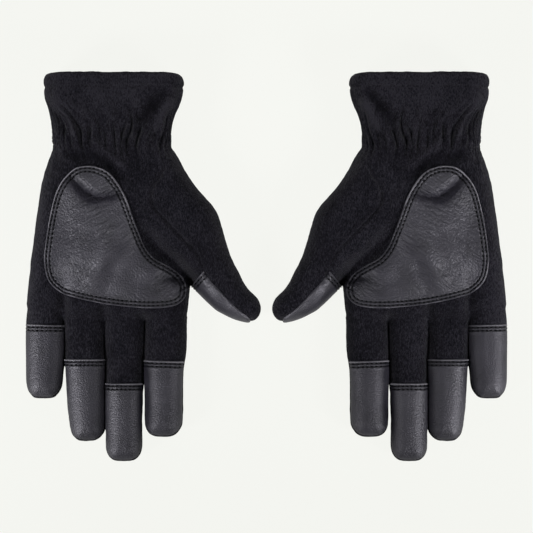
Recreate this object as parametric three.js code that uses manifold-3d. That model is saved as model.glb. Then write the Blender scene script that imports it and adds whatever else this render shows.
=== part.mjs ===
// A pair of sewn fleece gloves with leather grip patches, lying palm up.
// Millimetres. +Z is up out of the palms, +Y runs from the fingers to the cuffs, and X runs across the pair.
// The origin is on the resting surface, under the middle of the pair.
import * as THREE from "three";
import { mergeVertices } from "three/addons/utils/BufferGeometryUtils.js";
import Module from "manifold-3d";

const wasm = await Module();
wasm.setup();

// ---------------------------------------------------------------- driving dimensions
const GLOVE_LENGTH = 240; // cuff edge to the tip of the middle finger
const MIDDLE_FINGER_OUT = 87.4; // from the plane between the gloves to the middle finger's axis
const FLEECE = 2; // wall of every fleece piece
const LEATHER = 1; // wall of every leather piece
const GAP = 0.3; // between two pieces that are sewn together
const CUFF_Y = GLOVE_LENGTH / 2;

// The hand's tube, from the knuckles to the cuff edge: where it is widest towards the thumb and
// towards the little finger, and how high its palm side is.
const HAND_SECTIONS = [
  { y: -48, thumbEdge: -39.3, littleEdge: 60.3, top: 20.5 },
  { y: -22, thumbEdge: -39.3, littleEdge: 60, top: 25 },
  { y: 10, thumbEdge: -36, littleEdge: 56.4, top: 31 },
  { y: 42, thumbEdge: -32.5, littleEdge: 52.2, top: 32.5 },
  { y: 63, thumbEdge: -30, littleEdge: 47.5, top: 31.5 },
  { y: 74, thumbEdge: -28.9, littleEdge: 43.7, top: 30 },
  { y: 88, thumbEdge: -30, littleEdge: 44.3, top: 30.5 },
  { y: 108, thumbEdge: -36.2, littleEdge: 48.8, top: 35 },
  { y: CUFF_Y, thumbEdge: -35, littleEdge: 48, top: 35 },
];
const SECTION_POINTS = 16;
const SECTION_POWER = 2.3; // of the superellipse that each section of the hand follows
const SINK = 1.5; // the sections reach this far under the surface, and are cut flat there

// The thumb's tube: the two ends of each section across it, seen from above, and its height.
const THUMB_SECTIONS = [
  { outer: [-27, 56], inner: [-10, 30], top: 28 },
  { outer: [-45, 45], inner: [-22, 6], top: 29 },
  { outer: [-58.6, 26], inner: [-38, -8], top: 28 },
  { outer: [-66.4, 7.5], inner: [-46, -16], top: 25 },
  { outer: [-73.2, -6], inner: [-56, -25], top: 22 },
  { outer: [-79.5, -16], inner: [-66.5, -31], top: 20 },
];
const THUMB_STATIONS = 5;
const THUMB_TIP_LENGTH = 10;
// Its folding line's middle. The lean turns -Y to the way the tip points, the fold is how far it bends
// towards the palm, and the notch is the length of palm side that the hand gives up for that.
const THUMB_JOINT = { x: -58.7, y: -8.1, lean: -42, fold: 45, notch: 12 };

// The fingers: the same, with the free length, the half widths, and where the leather patch begins.
const FINGER_FOLD = { fold: 75, notch: 9 };
const FINGERS = {
  index: { x: -26, y: -40.3, lean: 1.3, length: 63.6, base: 12.7, tip: 11.8, patch: 18.4 },
  middle: { x: 0.2, y: -40.3, lean: 0, length: 78.4, base: 11.3, tip: 11.1, patch: 31.3 },
  ring: { x: 24, y: -40.3, lean: -0.9, length: 66.1, base: 12, tip: 11, patch: 16.6 },
  little: { x: 48.9, y: -32.9, lean: 0.3, length: 46.7, base: 11.5, tip: 10.8, patch: 2.8 },
};
// The strips that close a finger's sides towards its neighbours: -1 is its thumb side.
const STRIPS = { index: [1], middle: [-1, 1], ring: [-1, 1], little: [-1] };
const FINGER_FLATNESS = 0.84; // thickness over width
const FINGER_SIDES = 12;
const FINGER_TIP_LENGTH = 9;
const FOLD_HEIGHT = 14; // of every folding line above the surface
const FOLD_GAP = 0.2;
const FOLD_CLEARANCE = 4; // degrees past the end of a fold
const PATCH_ANGLE = 32; // from the finger's widest line up to the leather patch's edge
const STRIP_ANGLE = 27; // half the angle that a side strip covers

const SEAM_HEIGHT = 13; // where the palm and back panels meet along the glove's edge
const THUMB_SEAM = [
  [-28, 74],
  [-20, 62],
  [-18, 50],
  [-19.5, 36],
  [-27, 12],
  [-40.5, -12],
  [-41, -60],
  [-130, -60],
  [-130, 74],
];

const ELASTIC = { y: 77, width: 12, thickness: 1.2 };
const HEM = { depth: 10, thickness: 1.6 };

// The palm patch's edge, smooth through these points.
const PALM_PATCH = [
  [22.3, 61.5],
  [7.5, 57.2],
  [-3.2, 41],
  [-9.5, 22.6],
  [-17.2, 8.5],
  [-28.6, 0.7],
  [-37, -8.4],
  [-37, -19.8],
  [-28, -25.3],
  [-6.7, -25],
  [21.6, -21.2],
  [39.3, -14.8],
  [47, -3.5],
  [46.7, 14.9],
  [42.1, 37.5],
  [35.7, 53],
];
const PATCH_EDGE_POINTS = 32;
const STITCH_ROWS = { outer: 1.8, inner: 3.6 }; // from the patch's edge
const STITCH = 0.8; // thread width

// ---------------------------------------------------------------- materials
const fleece = new THREE.MeshStandardMaterial({ color: 0x1c1b20, roughness: 0.95, metalness: 0 });
const leather = new THREE.MeshStandardMaterial({ color: 0x47464b, roughness: 0.5, metalness: 0 });
const thread = new THREE.MeshStandardMaterial({ color: 0x0b0b0d, roughness: 0.7, metalness: 0 });
const elastic = new THREE.MeshStandardMaterial({ color: 0x16161a, roughness: 0.9, metalness: 0 });

// ---------------------------------------------------------------- solids
// A closed geometry as a solid that booleans can use, facing out whichever way its faces ran.
function solid(geometry, matrix = new THREE.Matrix4()) {
  const bare = new THREE.BufferGeometry();
  bare.setAttribute("position", geometry.getAttribute("position").clone());
  if (geometry.index) bare.setIndex(geometry.index.clone());
  const merged = mergeVertices(bare.applyMatrix4(matrix), 1e-4);
  const corners = merged.index.array;
  const faces = [];
  for (let i = 0; i < corners.length; i += 3) {
    const [a, b, c] = corners.slice(i, i + 3);
    if (a !== b && b !== c && c !== a) faces.push([a, b, c]);
  }
  const build = (triangles) =>
    new wasm.Manifold(
      new wasm.Mesh({
        numProp: 3,
        vertProperties: merged.getAttribute("position").array,
        triVerts: new Uint32Array(triangles.flat()),
      }),
    );
  const made = build(faces);
  return made.volume() > 0 ? made : build(faces.map(([a, b, c]) => [a, c, b]));
}

// A solid as a named mesh.
function piece(name, shape, material) {
  const { numProp, vertProperties, triVerts } = shape.getMesh();
  const position = new Float32Array((vertProperties.length / numProp) * 3);
  for (let i = 0; i < position.length / 3; i++) {
    position.set(vertProperties.subarray(i * numProp, i * numProp + 3), i * 3);
  }
  const geometry = new THREE.BufferGeometry();
  geometry.setAttribute("position", new THREE.BufferAttribute(position, 3));
  geometry.setIndex(new THREE.BufferAttribute(triVerts, 1));
  geometry.computeVertexNormals();
  const mesh = new THREE.Mesh(geometry, material);
  mesh.name = name;
  return mesh;
}

// A closed body through rings of equally many points, with flat ends.
function loft(rings) {
  const count = rings[0].length;
  const middle = (ring) =>
    ring.reduce((sum, p) => sum.add(p), new THREE.Vector3()).divideScalar(count);
  const points = [...rings.flat(), middle(rings[0]), middle(rings.at(-1))];
  const [first, last] = [points.length - 2, points.length - 1];
  const lastRing = (rings.length - 1) * count;
  const faces = [];
  for (let k = 0; k < count; k++) {
    const next = (k + 1) % count;
    faces.push(first, next, k, last, lastRing + k, lastRing + next);
    for (let r = 0; r < lastRing; r += count) {
      faces.push(r + k, r + next, r + count + next, r + k, r + count + next, r + count + k);
    }
  }
  const geometry = new THREE.BufferGeometry().setFromPoints(points);
  geometry.setIndex(faces);
  return geometry;
}

const power = (value, exponent) => Math.sign(value) * Math.abs(value) ** exponent;

// An upright superellipse ring between two points seen from above, from bottom to top.
function ring(start, end, bottom, top) {
  const points = [];
  for (let k = 0; k < SECTION_POINTS; k++) {
    const turn = (2 * Math.PI * k) / SECTION_POINTS;
    const across = (1 - power(Math.cos(turn), 2 / SECTION_POWER)) / 2;
    const up = (1 + power(Math.sin(turn), 2 / SECTION_POWER)) / 2;
    points.push(
      new THREE.Vector3(
        THREE.MathUtils.lerp(start[0], end[0], across),
        THREE.MathUtils.lerp(start[1], end[1], across),
        THREE.MathUtils.lerp(bottom, top, up),
      ),
    );
  }
  return points;
}

const FAR = 400;
function block(low, high) {
  const size = high.map((value, axis) => value - low[axis]);
  const centre = high.map((value, axis) => (value + low[axis]) / 2);
  return solid(new THREE.BoxGeometry(...size).translate(...centre));
}
const above = (z) => block([-FAR, -FAR, z], [FAR, FAR, FAR]);
const below = (z) => block([-FAR, -FAR, -FAR], [FAR, FAR, z]);
const between = (low, high) => block([-FAR, low, -FAR], [FAR, high, FAR]);
const join = (solids) => solids.reduce((sum, one) => sum.add(one));

// A prism of a plan outline, tall enough to cut the glove right through.
function prism(outline) {
  const shape = new THREE.Shape(outline.map(([x, y]) => new THREE.Vector2(x, y)));
  const tall = new THREE.ExtrudeGeometry(shape, { depth: FAR, bevelEnabled: false });
  return solid(tall.translate(0, 0, -FAR / 2));
}

// ---------------------------------------------------------------- the body of the glove
// The hand's form grown by a wall; past its ends it runs straight on by `through`.
function handForm(grow, through = 0) {
  const rings = HAND_SECTIONS.map(({ y, thumbEdge, littleEdge, top }) =>
    ring([thumbEdge - grow, y], [littleEdge + grow, y], -SINK - grow, top + grow),
  );
  if (through) {
    const moved = (points, dy) => points.map((p) => p.clone().add(new THREE.Vector3(0, dy, 0)));
    rings.unshift(moved(rings[0], -through));
    rings.push(moved(rings.at(-1), through));
  }
  return solid(loft(rings)).intersect(above(Math.max(0, -grow)));
}

// The thumb's form grown by a wall, with a rounded tip.
function thumbForm(grow) {
  const spread = ({ outer, inner, top }, share = 1, forward = [0, 0]) => {
    const middle = [(outer[0] + inner[0]) / 2, (outer[1] + inner[1]) / 2];
    const width = Math.hypot(outer[0] - inner[0], outer[1] - inner[1]);
    const reach = (share * (width + 2 * grow)) / width;
    const move = (point, axis) => middle[axis] + (point[axis] - middle[axis]) * reach + forward[axis];
    const half = (share * (top + SINK + 2 * grow)) / 2;
    const centre = (top - SINK) / 2;
    const ends = [outer, inner].map((point) => [move(point, 0), move(point, 1)]);
    return ring(...ends, centre - half, centre + half);
  };
  const last = THUMB_SECTIONS.at(-1);
  const across = [last.inner[0] - last.outer[0], last.inner[1] - last.outer[1]];
  const width = Math.hypot(...across);
  const ahead = [across[1] / width, -across[0] / width];
  const tip = [0.5, 0.85, 0.98].map((share) => {
    const forward = ahead.map((value) => value * (THUMB_TIP_LENGTH + grow) * share);
    return spread(last, Math.sqrt(1 - share * share), forward);
  });
  const edge = (key) =>
    new THREE.CatmullRomCurve3(THUMB_SECTIONS.map((one) => new THREE.Vector3(...one[key], one.top)));
  const [outer, inner] = [edge("outer"), edge("inner")];
  const rings = [];
  for (let k = 0; k <= THUMB_STATIONS; k++) {
    const [a, b] = [outer, inner].map((curve) => curve.getPoint(k / THUMB_STATIONS));
    rings.push(spread({ outer: [a.x, a.y], inner: [b.x, b.y], top: a.z }));
  }
  rings.push(...tip);
  return solid(loft(rings)).intersect(above(Math.max(0, -grow)));
}

// Where a finger or thumb folds: its own frame, with -Y towards the tip.
function foldFrame({ x, y, lean }) {
  return new THREE.Matrix4().makeRotationZ(THREE.MathUtils.degToRad(lean)).setPosition(x, y, 0);
}

// What the hand gives up for a fold: everything past the folding line, and a notch above it that
// leaves room for the finger's palm side to come back over the palm.
function foldCutter({ fold, notch, ...joint }, halfWidth) {
  const rise = notch / Math.tan(THREE.MathUtils.degToRad(fold + FOLD_CLEARANCE));
  const outline = [
    [FOLD_GAP, -10],
    [FOLD_GAP, FOLD_HEIGHT],
    [notch, FOLD_HEIGHT + rise],
    [notch, FAR],
    [-FAR, FAR],
    [-FAR, -10],
  ];
  const shape = new THREE.Shape(outline.map(([s, z]) => new THREE.Vector2(s, z)));
  const slab = new THREE.ExtrudeGeometry(shape, { depth: 2 * halfWidth, bevelEnabled: false });
  slab.translate(0, 0, -halfWidth);
  const basis = new THREE.Matrix4().makeBasis(
    new THREE.Vector3(0, 1, 0),
    new THREE.Vector3(0, 0, 1),
    new THREE.Vector3(1, 0, 0),
  );
  return solid(slab, foldFrame(joint).multiply(basis));
}

// The patch's edge moved inwards.
function patchOutline(inset = 0) {
  const anchors = PALM_PATCH.map(([x, y]) => new THREE.Vector3(x, y, 0));
  const edge = new THREE.CatmullRomCurve3(anchors, true, "centripetal");
  return Array.from({ length: PATCH_EDGE_POINTS }, (_, k) => {
    const at = k / PATCH_EDGE_POINTS;
    const point = edge.getPointAt(at);
    const tangent = edge.getTangentAt(at);
    return [point.x - tangent.y * inset, point.y + tangent.x * inset];
  });
}

// The thin layer of the glove's outside between two growths.
const handLayer = (low, high) => handForm(high, 5).subtract(handForm(low, 10));

function handPieces(side) {
  const outside = handForm(0).add(thumbForm(0));
  const inside = handForm(-FLEECE, 10).add(thumbForm(-FLEECE));
  const folds = Object.values(FINGERS).map((one) => foldCutter({ ...one, ...FINGER_FOLD }, one.base + 1));
  const lanes = folds.concat(between(-FAR, FINGERS.middle.y + FOLD_GAP));
  const whole = outside.subtract(inside);
  const thumbCut = foldCutter(THUMB_JOINT, 24).intersect(block([-FAR, -FAR, -FAR], [-41, 30, FAR]));
  const shell = whole.subtract(join(lanes)).subtract(thumbCut);

  const thumbSide = prism(THUMB_SEAM);
  const seamAllowance = prism(THUMB_SEAM.map(([x, y]) => [x > -100 ? x + GAP : x, y + GAP]));
  const main = shell.subtract(seamAllowance);
  const upper = above(SEAM_HEIGHT + GAP / 2);
  const lower = below(SEAM_HEIGHT - GAP / 2);

  const patchLayer = (low, high) => handLayer(low, high).intersect(above(SEAM_HEIGHT));
  const stitchRow = (inset) =>
    patchLayer(GAP + LEATHER + GAP, GAP + LEATHER + 2 * GAP)
      .intersect(prism(patchOutline(inset - STITCH / 2)))
      .subtract(prism(patchOutline(inset + STITCH / 2)));
  const innerBand = ({ thickness }, low, high) =>
    handLayer(-FLEECE - GAP - thickness, -FLEECE - GAP).intersect(between(low, high));

  return [
    piece(`${side}_palm_panel`, main.intersect(upper), fleece),
    piece(`${side}_back_panel`, main.intersect(lower), fleece),
    piece(`${side}_thumb_gusset`, shell.intersect(thumbSide), fleece),
    piece(
      `${side}_palm_leather`,
      patchLayer(GAP, GAP + LEATHER).intersect(prism(patchOutline())),
      leather,
    ),
    piece(`${side}_palm_stitch_outer`, stitchRow(STITCH_ROWS.outer), thread),
    piece(`${side}_palm_stitch_inner`, stitchRow(STITCH_ROWS.inner), thread),
    piece(
      `${side}_wrist_elastic`,
      innerBand(ELASTIC, ELASTIC.y - ELASTIC.width / 2, ELASTIC.y + ELASTIC.width / 2),
      elastic,
    ),
    piece(`${side}_cuff_hem`, innerBand(HEM, CUFF_Y - HEM.depth, CUFF_Y), fleece),
  ];
}

// ---------------------------------------------------------------- thumb
function thumbPieces(side) {
  const frame = foldFrame(THUMB_JOINT);
  const toFold = frame.clone().invert();
  const local = (shape) => shape.transform(toFold.elements);
  const free = block([-FAR, -FAR, -FAR], [FAR, -FOLD_GAP, FAR]);
  const sleeve = local(thumbForm(0).subtract(thumbForm(-FLEECE))).intersect(free);
  // The leather covers the side of the thumb that faces the palm, and its seam leans towards the tip.
  const cover = local(
    prism([
      [-40, -16],
      [-52, -5],
      [-66, -19],
      [-81, -33.5],
      [-66, -45],
    ]),
  );
  const patch = local(thumbForm(GAP + LEATHER).subtract(thumbForm(GAP)))
    .intersect(free)
    .intersect(cover)
    .intersect(above(SEAM_HEIGHT - 3));
  const group = new THREE.Group();
  group.applyMatrix4(frame);
  group.add(piece(`${side}_thumb_sleeve`, sleeve, fleece));
  group.add(piece(`${side}_thumb_leather`, patch, leather));
  return group;
}

// ---------------------------------------------------------------- fingers
// A finger's form grown by a wall, turned about its axis and flattened; it starts past the fold.
function fingerForm({ length, base, tip }, grow, start = -FOLD_GAP) {
  const straight = length - FINGER_TIP_LENGTH;
  const profile = [
    new THREE.Vector2(0, start),
    new THREE.Vector2(base + grow, start),
    new THREE.Vector2(tip + grow, -straight),
  ];
  for (const share of [0.5, 0.85, 1]) {
    const radius = (tip + grow) * (1 - share ** 2.4) ** (1 / 2.4);
    profile.push(new THREE.Vector2(radius, -straight - (FINGER_TIP_LENGTH + grow) * share));
  }
  const turned = new THREE.LatheGeometry(profile, FINGER_SIDES);
  turned.rotateY(Math.PI / FINGER_SIDES);
  turned.scale(1, 1, FINGER_FLATNESS);
  turned.translate(0, 0, base * FINGER_FLATNESS);
  return solid(turned);
}

// A wedge along the finger with its point on the finger's axis, kept back from its neighbours by half
// the gap. Angles run from the little finger's side over the palm side to the thumb's side.
function wedge({ base }, from, to, distance = 0) {
  const [low, high, mid] = [from, to, (from + to) / 2].map(THREE.MathUtils.degToRad);
  const back = GAP / 2 / Math.sin(Math.min(high - low, Math.PI) / 2);
  const outline = [[back * Math.cos(mid), back * Math.sin(mid)]];
  const steps = 3;
  for (let k = 0; k <= steps; k++) {
    const turn = THREE.MathUtils.lerp(low, high, k / steps);
    outline.push([40 * Math.cos(turn) + outline[0][0], 40 * Math.sin(turn) + outline[0][1]]);
  }
  const shape = new THREE.Shape(outline.map(([x, z]) => new THREE.Vector2(x, z)));
  const along = new THREE.ExtrudeGeometry(shape, { depth: FAR, bevelEnabled: false });
  along.rotateX(Math.PI / 2).translate(0, -distance, base * FINGER_FLATNESS);
  return solid(along);
}

function fingerPieces(side, name) {
  const finger = FINGERS[name];
  const strips = STRIPS[name];
  const wall = fingerForm(finger, 0).subtract(fingerForm(finger, -FLEECE, 5));
  const little = strips.includes(1) ? STRIP_ANGLE : 0;
  const thumb = strips.includes(-1) ? STRIP_ANGLE : 0;
  const group = new THREE.Group();
  group.applyMatrix4(foldFrame(finger));
  const add = (part, shape, material) => group.add(piece(`${side}_${name}_${part}`, shape, material));
  add("front", wall.intersect(wedge(finger, little, 180 - thumb)), fleece);
  add("back", wall.intersect(wedge(finger, 180 + thumb, 360 - little)), fleece);
  for (const towards of strips) {
    const middle = towards > 0 ? 0 : 180;
    const part = towards > 0 ? "strip_little_side" : "strip_thumb_side";
    add(part, wall.intersect(wedge(finger, middle - STRIP_ANGLE, middle + STRIP_ANGLE)), fleece);
  }
  const cover = wedge(finger, PATCH_ANGLE, 180 - PATCH_ANGLE, finger.patch);
  const layer = fingerForm(finger, GAP + LEATHER).subtract(fingerForm(finger, GAP, 5));
  add("leather", layer.intersect(cover), leather);
  return group;
}

// ---------------------------------------------------------------- the pair
function glove(side) {
  const group = new THREE.Group();
  group.add(...handPieces(side), thumbPieces(side));
  for (const name of Object.keys(FINGERS)) group.add(fingerPieces(side, name));
  return group;
}

const right = glove("right");
right.position.x = MIDDLE_FINGER_OUT;
const left = glove("left");
left.position.x = -MIDDLE_FINGER_OUT;
left.scale.x = -1;

const pair = new THREE.Group();
pair.add(left, right);
export default pair;
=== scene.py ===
"""A pair of fleece gloves with leather grips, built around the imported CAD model.

Every shape is made once for the right-hand glove, in millimetres, with x measured from the axis of its
middle finger and the thumb towards -x, and then placed for both hands: the left-hand glove is its mirror image.
"""

import math

import bpy
import numpy as np
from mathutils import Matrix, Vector


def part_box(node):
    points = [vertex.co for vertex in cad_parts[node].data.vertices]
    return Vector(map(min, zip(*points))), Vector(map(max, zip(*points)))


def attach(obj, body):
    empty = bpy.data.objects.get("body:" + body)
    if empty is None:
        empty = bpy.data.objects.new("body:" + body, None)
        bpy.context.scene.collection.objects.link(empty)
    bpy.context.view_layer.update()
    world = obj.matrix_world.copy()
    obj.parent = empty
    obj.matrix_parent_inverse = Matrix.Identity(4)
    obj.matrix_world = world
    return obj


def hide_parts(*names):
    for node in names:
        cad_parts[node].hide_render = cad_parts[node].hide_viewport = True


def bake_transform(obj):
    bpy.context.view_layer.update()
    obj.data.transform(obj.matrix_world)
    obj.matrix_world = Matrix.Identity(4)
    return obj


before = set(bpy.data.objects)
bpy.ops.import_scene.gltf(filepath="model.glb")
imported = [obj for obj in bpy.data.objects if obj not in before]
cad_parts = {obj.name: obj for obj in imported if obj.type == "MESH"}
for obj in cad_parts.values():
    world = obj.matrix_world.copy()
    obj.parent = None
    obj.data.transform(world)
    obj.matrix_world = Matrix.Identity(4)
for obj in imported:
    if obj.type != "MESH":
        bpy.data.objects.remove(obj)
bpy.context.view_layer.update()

MM = 0.001
SIDES = {"right": 1, "left": -1}
FINGERS = ("index", "middle", "ring", "little")


def cad(node):
    """Lowest and highest corner of a node of the right-hand glove, in that glove's own millimetres."""
    low, high = (np.array(corner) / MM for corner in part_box(f"right_{node}"))
    return low - [MIDDLE_X, 0, 0], high - [MIDDLE_X, 0, 0]


MIDDLE_X = sum(corner.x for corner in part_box("right_middle_front")) / 2 / MM
CUFF_Y = cad("palm_panel")[1][1] - 1.8  # the rim's nap stands out beyond it
HEM_DEPTH = 8.2
HOLLOW_END = 62
CLOTH, HEM_CLOTH = 2.2, 1.3  # the wall's thickness, and how much the folded hem adds to it
ROWS = (1.8, 3.8)  # the two rows of stitches, from a leather piece's folded edge
# Where a leather mesh gets extra edges, so that its rolled edge and its stitch rows are sharp
SCORES = (0.4, 0.8, 1.2, 1.55, 1.8, 2.05, 2.4, 2.8, 3.2, 3.55, 3.8, 4.05, 4.5)
STITCH = (1.7, 0.38, 0.34)  # its length, half its width and half its height
STRIP_Z = (5.5, 15.5)
STRIPS = {
    "index": [("little_side", 1)],
    "middle": [("thumb_side", -1), ("little_side", 1)],
    "ring": [("thumb_side", -1), ("little_side", 1)],
    "little": [("thumb_side", -1)],
}
GRIP_Z = 14.8
SINK = 1.5  # the rounded forms reach this far under the floor, and are flattened there
GRID = {"hand": 0.9, "finger": 0.8, "palm_grip": 0.7, "grip": 0.65}  # the meshes' spacing
FLOOR_GAP = 0.1
FIELD_EDGE = 8  # how far past its outline a finger's form is known

# ---- outlines seen from above
HAND = [
    (49.2, 145), (49.2, 121), (49.3, 114.5), (49.3, 109), (48.4, 103), (46.5, 98),
    (44.8, 92.5), (43.5, 87), (42.7, 81), (42.5, 74.5), (43.2, 71.5), (46.2, 65), (48.5, 58), (50.5, 50),
    (52.3, 40), (53.9, 29), (55.2, 18), (56.5, 9), (57.8, 0), (59, -12), (59.6, -19), (57.5, -25),
    (40, -27), (36, -33), (10, -34), (-34, -33), (-37.6, -29.5), (-39.2, -24), (-40.2, -16),
    (-40.8, -11.6), (-42.2, -12.6), (-49.9, -19.9), (-58.4, -27.2), (-68.3, -31.9), (-77, -33.6),
    (-82, -31.5), (-84.2, -25.8), (-82.2, -19.8), (-75.3, -12.4), (-70.5, -3), (-66, 6), (-62.5, 16),
    (-59.8, 25), (-57.6, 31.5), (-54.8, 36.5), (-49.5, 42.8), (-43.6, 50), (-37.5, 59), (-34, 65.5),
    (-30, 71.2), (-28.3, 73.5), (-28.2, 81), (-29.2, 86.5), (-30.9, 92.5), (-33.6, 98.5), (-35.5, 104),
    (-36.6, 110), (-36.7, 115), (-36.5, 121), (-36.5, 145),
]
# Each finger: rows of y and the two edges, towards the thumb and towards the little finger, then the tip.
FINGER_EDGES = {
    "index": [
        (-8, -35, -11.7), (-22, -36.8, -11.7), (-31, -38.6, -11.7), (-38, -38.9, -11.7), (-53, -38.1, -11.7),
        (-60, -36.7, -11.7), (-70, -36.2, -11.7), (-79, -36.1, -12.1), (-93, -36, -12.2), (-99, -34.8, -12.9),
        (-103.2, -31.8, -15.6), (-105, -27.6, -20),
    ],
    "middle": [
        (-8, -12.4, 12.2), (-58, -12.4, 12.2), (-70, -12.2, 12.2), (-79, -11.4, 12.1), (-94, -11.1, 12),
        (-103, -11.1, 11.6), (-109, -11, 11.6), (-114.2, -10.3, 11), (-117.9, -8.1, 8.9), (-119.8, -4.2, 4.8),
    ],
    "ring": [
        (-8, 11.4, 37.2), (-48, 11.4, 37.2), (-56, 11.4, 37), (-65, 11.4, 36.3), (-82, 11.4, 35.4),
        (-94, 11.5, 34.3), (-101, 12.2, 33.1), (-105.2, 14.8, 30.8), (-107.4, 18.8, 27),
    ],
    "little": [
        (-5, 36.4, 55), (-18, 36.4, 58.4), (-27, 36.4, 60.3), (-36, 36.4, 60.9), (-50, 36.4, 60.9),
        (-57, 36.8, 60.8), (-66, 37.8, 60.7), (-71, 38.2, 60.5), (-75.6, 39.3, 59.7), (-79.2, 41.8, 57.6),
        (-81.1, 45, 54.6),
    ],
}
FINGER_TOP = 21.2
FINGER_ROUND = {"index": 12, "middle": 11.2, "ring": 11.6, "little": 11}
LANES = {"index": (-99, -12.1), "middle": (-12.1, 11.8), "ring": (11.8, 36.8), "little": (36.8, 99)}
PARTING = {-99: -20, -12.1: -69, 11.8: -96, 36.8: -60, 99: -20}  # fingers side by side touch as far as this y
CROTCH = {"index": -28.3, "middle": -28.3, "ring": -28.3, "little": -21}

# Places on the hand, the height of its palm side there, and how wide its rounded edge is.
HAND_FORM = [
    (6, 122, 35, 15), (6, 108, 35, 15.5), (7, 96, 32.5, 15), (7, 86, 30.3, 14.5), (7, 76, 29.8, 14.5),
    (9, 66, 31.5, 16), (10, 50, 33.2, 18), (12, 30, 32.4, 19), (12, 10, 30.6, 18), (10, -8, 28, 15),
    (10, -20, 25.5, 12), (8, -30, 22.5, 10), (50, -15, 24, 11), (50, 20, 30, 15), (-16, -18, 25.5, 11),
    (-27, -12, 21.8, 10), (-35, -15, 17, 8.5), (-18, 0, 28, 12), (-30, 45, 29.5, 13), (-40, 30, 30, 14),
    (-48, 15, 29.5, 14.5), (-56, 2, 28, 13.5), (-63, -9, 25.5, 12), (-70, -18, 23, 10.5), (-77, -26, 21, 9),
]
# The valley between the palm and the ball of the thumb
THUMB_VALLEY = [(-11, 30), (-19.5, 14), (-29, 4.5), (-36.5, -3), (-41, -10.5)]
THUMB_SEAM = [
    (-30.5, 71), (-24, 57), (-18.8, 49.5), (-17.4, 42.5), (-19.5, 35.8), (-26, 28.6), (-36, 18), (-45.6, 7.6),
    (-49.2, -1.5), (-52.5, -9), (-58, -60), (-140, -60), (-140, 71),
]
THUMB_CUT = ((-52.5, -1.5), (-0.62, -0.785))  # where the thumb starts to follow its fold, and its way
PALM_PATCH = [
    (21.6, 61.5), (14.5, 60.4), (7.5, 56.6), (1.8, 49.4), (-2.6, 41), (-6.2, 31.2), (-9.4, 22), (-13.2, 12.6),
    (-18.6, 5.4), (-26, 1.2), (-32.2, -2.8), (-36.8, -8), (-38.2, -14.6), (-36.6, -20.2), (-32, -24),
    (-24.6, -25.4), (-12.6, -25.5), (1.5, -24.4), (15.6, -22.4), (28.3, -19.5), (38.2, -16.2), (44.6, -11),
    (47.6, -4.8), (48.4, 3.7), (47.4, 13.6), (45.6, 25.6), (43.3, 36.9), (40.4, 46.1), (35.8, 53.9), (29.2, 59.8),
]
THUMB_CROTCH = ((-41.2, -11.4), (-0.94, 0.34))
THUMB_GRIP_TOP = [(-41.1, -11.7), (-48.9, -2.8)]
THUMB_GRIP_AREA = [
    (-38, -15), (-41, -11.5), (-49, -2.6), (-49.9, -4.7), (-55.6, -10.6), (-61.2, -16.9), (-69.7, -25.4),
    (-77.5, -31.8), (-79, -37), (-60, -40), (-38, -25),
]
# Fine creases in the palm's leather: the middle of each group, its reach, its way, its spacing and its depth
LEATHER_CREASES = [
    ((17, 34), 15, (0.93, -0.36), 1.5, 0.65), ((4, 17), 10, (0.72, -0.7), 1.6, 0.5),
    ((34, 14), 14, (0.98, -0.2), 1.6, 0.15), ((14, 50), 9, (0.8, 0.6), 1.3, 0.35),
    ((-26, -9), 10, (0.88, -0.47), 1.7, 0.6), ((18, -8), 13, (0.6, -0.8), 1.6, 0.15),
    ((-60, -20), 14, (0.5, 0.87), 2.6, 0.35),
]
# Painted shade on the leather, made by lowering its shine, or painted highlight, made by raising it where the
# amount is below 0: a line, a width and an amount
PAINTED_SHINE = [
    ([(34, 57), (27, 48), (21, 43.6), (13, 41.2), (-1, 44)], 3.3, 0.95), ([(28, -2), (28, -15)], 2.6, 0.35),
    ([(30, 52), (21, 41), (10, 39.5)], 3.5, 0.7), ([(45, 16), (40, -4), (30, -19)], 8, 0.5),
    ([(2, 4), (-22, -22)], 9, 0.35), ([(-45, -3), (-56, -12.5), (-66, -23.5), (-78, -33)], 1.8, -0.5),
    ([(-42, -9), (-47, -13.5), (-54, -20), (-61, -26), (-68, -31)], 2.2, 0.7),
    ([(12, -18), (10, -4), (3, 8), (-4, 17)], 4, 0.4), ([(-22, -4), (-30, -8), (-39, -13)], 5, 0.9),
    ([(24, -18), (20, -6), (15, 6), (8, 18)], 3.2, -0.35), ([(27, 57), (18, 51), (8, 49)], 2.4, -0.5),
    ([(28, 32), (16, 31), (2, 29)], 4.5, -0.35), ([(-13.8, -56), (-14, -104)], 4, 1.3),
    ([(13.4, -60), (14.5, -104)], 2.6, 0.6), ([(-9.8, -70), (-9.6, -118)], 1.4, 0.7),
    ([(38.5, -40), (40, -78)], 2.2, 0.4), ([(24, -58), (23, -106)], 6, -0.4), ([(3, -72), (1, -118)], 6, -0.35),
    ([(-5, -76), (-5, -116)], 3, -0.4), ([(-24, -62), (-26, -104)], 7, -0.3),
]
PAD_TOP = {"index": (-58.2, -57.2), "middle": (-71.6, -71.4), "ring": (-56.8, -56.6), "little": (-35.8, -35.2)}


# ---- numbers on grids and curves
def noise(points, size, seed=0):
    """Smooth noise from -1 to 1; size is its grain, one number or one for each axis."""
    q = np.asarray(points, float) / np.asarray(size, float) + 57.3 * (seed + 1)
    cell = np.floor(q).astype(np.int64)
    f = q - cell
    f = f * f * (3 - 2 * f)
    total = np.zeros(len(q))
    for corner in range(8):
        bit = np.array([corner & 1, corner >> 1 & 1, corner >> 2 & 1])
        i = cell + bit
        h = (i[:, 0] * 374761393 + i[:, 1] * 668265263 + i[:, 2] * 1440662683 + seed * 974711) & 0xFFFFFFFF
        h = ((h ^ (h >> 13)) * 1274126177) & 0xFFFFFFFF
        value = ((h ^ (h >> 16)) & 0xFFFF) / 32767.5 - 1
        total += value * np.prod(np.where(bit, f, 1 - f), axis=1)
    return total


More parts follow.
